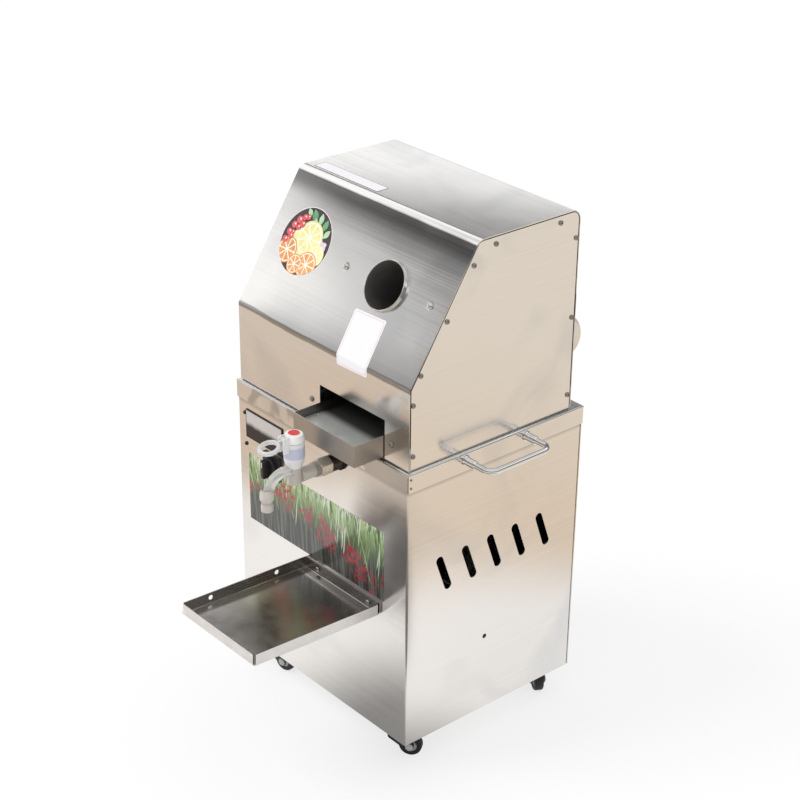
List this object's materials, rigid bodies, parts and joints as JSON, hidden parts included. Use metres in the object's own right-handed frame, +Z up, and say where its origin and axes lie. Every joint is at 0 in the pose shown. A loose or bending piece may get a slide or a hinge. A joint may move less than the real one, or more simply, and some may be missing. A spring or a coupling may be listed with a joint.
{
  "type": "sugarcane juicer",
  "caption": "Electric sugarcane juicer: folded stainless cabinet on castors, sloped hood with a round feed tube, geared roller mill inside, juice tray, tap, drip tray and side handles.",
  "frame": {"origin": "middle of the overall footprint, on the floor under the castors", "axes": "+X to the right of someone who stands before the machine, +Y from its front to its back, +Z up"},
  "size_m": [0.5394, 0.7012, 0.8688],
  "materials": {
    "stainless_sheet": "brushed, with the grain along each fold",
    "stainless_bar": "turned",
    "plain_sheet": "dull mill finish",
    "mill_plate": "ground flat",
    "turned_steel": "turned",
    "gear_iron": "machined and oiled",
    "bronze": "bored",
    "chromed_rod": "polished",
    "cast_aluminium": "as cast",
    "motor_paint": "satin paint",
    "black_plastic": "moulded",
    "meter_window": "polished tinted plastic",
    "black_rubber": "moulded",
    "clear_plastic": "clear moulding",
    "white_plastic": "moulded",
    "battery_case": "moulded",
    "castor_steel": "black finish",
    "castor_wheel": "moulded"
  },
  "bodies": {
    "main": {"cabinet_shell": "stainless_sheet", "cabinet_back": "stainless_sheet", "cabinet_floor": "stainless_sheet", "cabinet_top": "stainless_sheet", "hood_wrap": "stainless_sheet", "hood_side_right": "stainless_sheet", "hood_side_left": "stainless_sheet", "hood_base": "plain_sheet", "feed_tube": "stainless_sheet", "rear_chute": "stainless_sheet", "carry_handle_right": "chromed_rod", "carry_handle_left": "chromed_rod", "drip_tray": "stainless_sheet", "meter_housing": "black_plastic", "meter_window": "meter_window", "switch_body": "black_plastic", "tap_gasket": "black_rubber", "tap_nut": "turned_steel", "tap_body": "clear_plastic", "tap_cap": "white_plastic", "tray_runner_right": "plain_sheet", "tray_runner_left": "plain_sheet", "mill_plate_left": "mill_plate", "mill_plate_right": "mill_plate", "mill_tie_front": "turned_steel", "mill_tie_rear": "turned_steel", "top_bush_left": "bronze", "front_bush_left": "bronze", "rear_bush_left": "bronze", "top_bush_right": "bronze", "front_bush_right": "bronze", "rear_bush_right": "bronze", "motor_bracket": "plain_sheet", "gearbox": "cast_aluminium", "motor": "motor_paint", "juice_tank": "stainless_sheet", "battery_pack": "battery_case", "power_inlet": "black_plastic", "castor_plate_front_right": "castor_steel", "castor_plate_front_left": "castor_steel", "castor_plate_rear_right": "castor_steel", "castor_plate_rear_left": "castor_steel"},
    "juice_tray": {"juice_tray": "stainless_sheet"},
    "tap_lever": {"tap_lever": "clear_plastic"},
    "switch_knob": {"switch_knob": "black_plastic"},
    "top_roller": {"top_roller": "stainless_bar", "top_gear": "gear_iron", "drive_coupling": "turned_steel"},
    "front_roller": {"front_roller": "stainless_bar", "front_gear": "gear_iron"},
    "rear_roller": {"rear_roller": "stainless_bar", "rear_gear": "gear_iron"},
    "fork_front_right": {"castor_fork_front_right": "castor_steel"},
    "wheel_front_right": {"castor_wheel_front_right": "castor_wheel"},
    "fork_front_left": {"castor_fork_front_left": "castor_steel"},
    "wheel_front_left": {"castor_wheel_front_left": "castor_wheel"},
    "fork_rear_right": {"castor_fork_rear_right": "castor_steel"},
    "wheel_rear_right": {"castor_wheel_rear_right": "castor_wheel"},
    "fork_rear_left": {"castor_fork_rear_left": "castor_steel"},
    "wheel_rear_left": {"castor_wheel_rear_left": "castor_wheel"}
  },
  "joints": [
    {"name": "tray_slide", "type": "slide", "parent": "main", "child": "juice_tray", "axis": [0, -1, 0], "range_m": [0, 0.016]},
    {"name": "tap_lever_hinge", "type": "hinge", "parent": "main", "child": "tap_lever", "pos_m": [0.05, -0.22038, 0.5656], "axis": [1, 0, 0], "range_deg": [0, 30], "stiffness_Nm_per_rad": 0.05, "springref_deg": -11.46},
    {"name": "switch_turn", "type": "hinge", "parent": "main", "child": "switch_knob", "pos_m": [-0.122, -0.12388, 0.4125], "axis": [0, -1, 0], "range_deg": [-45, 45]},
    {"name": "top_roller_spin", "type": "hinge", "parent": "main", "child": "top_roller", "pos_m": [0.075, 0.08612, 0.7476], "axis": [1, 0, 0], "continuous": true},
    {"name": "front_roller_spin", "type": "hinge", "parent": "main", "child": "front_roller", "pos_m": [0.075, 0.04762, 0.68324], "axis": [1, 0, 0], "continuous": true},
    {"name": "rear_roller_spin", "type": "hinge", "parent": "main", "child": "rear_roller", "pos_m": [0.075, 0.12462, 0.68324], "axis": [1, 0, 0], "continuous": true},
    {"name": "castor_swivel_front_right", "type": "hinge", "parent": "main", "child": "fork_front_right", "pos_m": [0.16, -0.08588, 0.05], "axis": [0, 0, 1], "continuous": true},
    {"name": "castor_roll_front_right", "type": "hinge", "parent": "fork_front_right", "child": "wheel_front_right", "pos_m": [0.17802, -0.07326, 0.019], "axis": [-0.5736, 0.8192, 0], "continuous": true},
    {"name": "castor_swivel_front_left", "type": "hinge", "parent": "main", "child": "fork_front_left", "pos_m": [-0.16, -0.08588, 0.05], "axis": [0, 0, 1], "continuous": true},
    {"name": "castor_roll_front_left", "type": "hinge", "parent": "fork_front_left", "child": "wheel_front_left", "pos_m": [-0.13833, -0.08206, 0.019], "axis": [-0.1736, 0.9848, 0], "continuous": true},
    {"name": "castor_swivel_rear_right", "type": "hinge", "parent": "main", "child": "fork_rear_right", "pos_m": [0.16, 0.21812, 0.05], "axis": [0, 0, 1], "continuous": true},
    {"name": "castor_roll_rear_right", "type": "hinge", "parent": "fork_rear_right", "child": "wheel_rear_right", "pos_m": [0.17905, 0.20712, 0.019], "axis": [0.5, 0.866, 0], "continuous": true},
    {"name": "castor_swivel_rear_left", "type": "hinge", "parent": "main", "child": "fork_rear_left", "pos_m": [-0.16, 0.21812, 0.05], "axis": [0, 0, 1], "continuous": true},
    {"name": "castor_roll_rear_left", "type": "hinge", "parent": "fork_rear_left", "child": "wheel_rear_left", "pos_m": [-0.1399, 0.20917, 0.019], "axis": [0.4067, 0.9135, 0], "continuous": true}
  ],
  "couplings": [
    {"joint": "front_roller_spin", "follows": "top_roller_spin", "ratio": -1.1739},
    {"joint": "rear_roller_spin", "follows": "top_roller_spin", "ratio": -1.1739}
  ]
}
